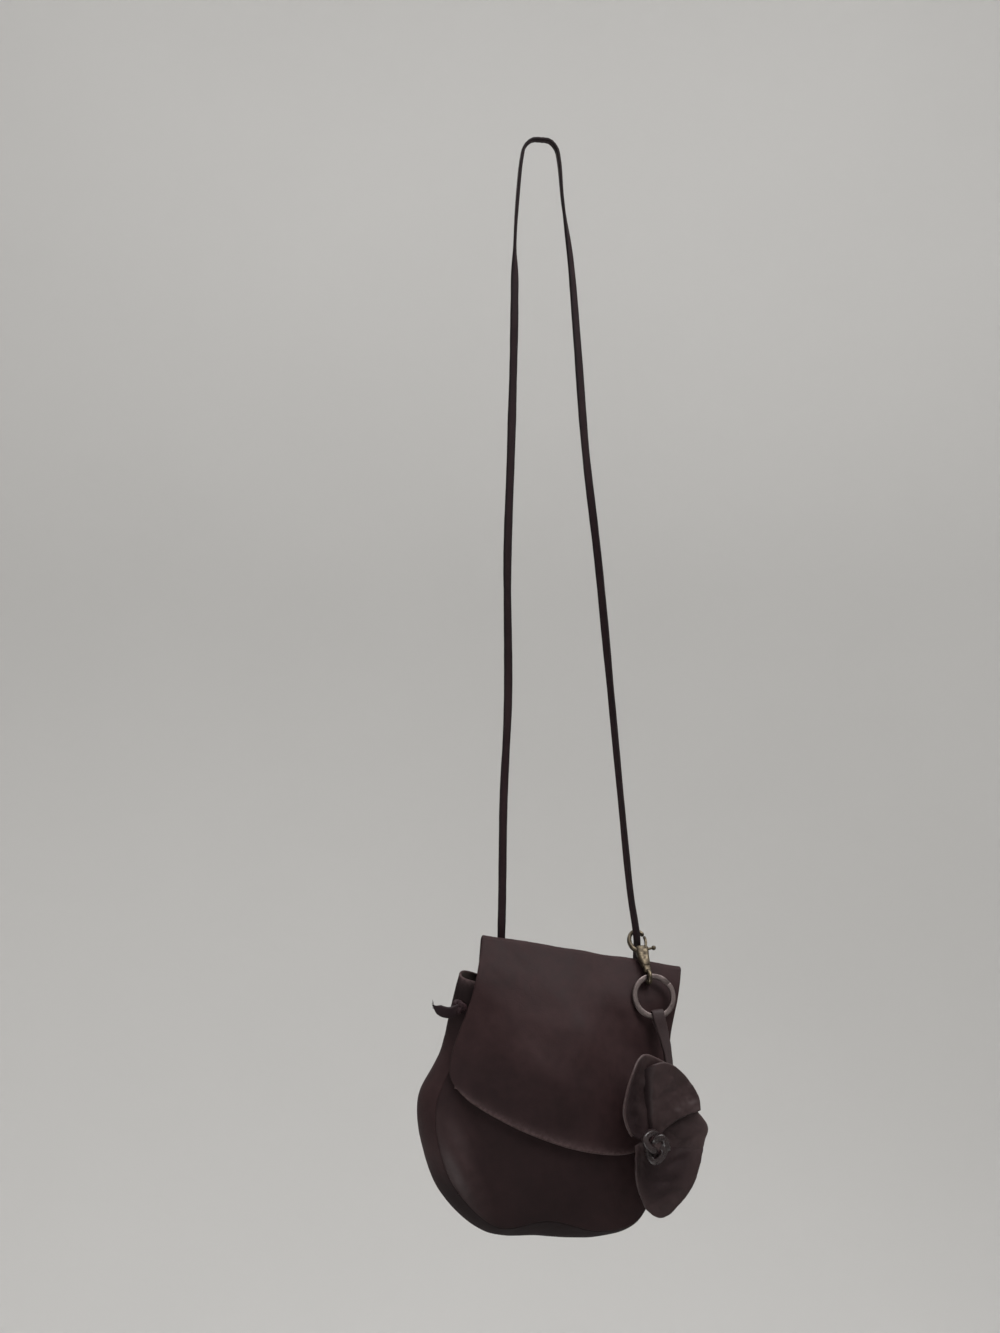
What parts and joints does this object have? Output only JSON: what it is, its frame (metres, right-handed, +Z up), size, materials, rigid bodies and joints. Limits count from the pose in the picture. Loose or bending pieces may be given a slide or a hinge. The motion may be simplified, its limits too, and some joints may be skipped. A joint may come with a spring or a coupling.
{
  "type": "crossbody bag",
  "caption": "Soft leather crossbody bag with a fold-over flap and a long lace strap, hung by the strap, with a leather flower charm on a lobster clasp and split ring.",
  "frame": {"origin": "on the underside of the strap's top bend, where the bag hangs", "axes": "+Z up, +X to the right as seen from the front, the front of the bag faces -Y"},
  "size_m": [0.1937, 0.0813, 0.7765],
  "materials": {
    "bag_leather": "soft satin, dark brown burgundy",
    "strap_leather": "soft satin, dark brown burgundy with a redder middle",
    "charm_leather": "crinkled satin, dark brown",
    "clasp_brass": "antique, worn",
    "ring_nickel": "polished nickel"
  },
  "bodies": {
    "bag": {"back_and_flap": "bag_leather", "front_panel": "bag_leather", "gusset": "bag_leather", "strap": "strap_leather", "clasp_body": "clasp_brass"},
    "clasp_gate": {"clasp_gate": "clasp_brass"},
    "charm": {"split_ring": "ring_nickel", "charm_thong": "charm_leather", "petal_1": "charm_leather", "petal_2": "charm_leather", "petal_3": "charm_leather", "petal_4": "charm_leather", "flower_knot": "charm_leather"}
  },
  "joints": [
    {"name": "clasp_gate_hinge", "type": "hinge", "parent": "bag", "child": "clasp_gate", "pos_m": [0.0761, -0.00573, -0.5781], "axis": [0, -0.7478, 0.6639], "range_deg": [0, 20], "stiffness_Nm_per_rad": 0.005, "springref_deg": -11.46},
    {"name": "charm_swing", "type": "hinge", "parent": "bag", "child": "charm", "pos_m": [0.0744, -0.0202, -0.5944], "axis": [-1, 0, 0], "range_deg": [0, 75]}
  ]
}
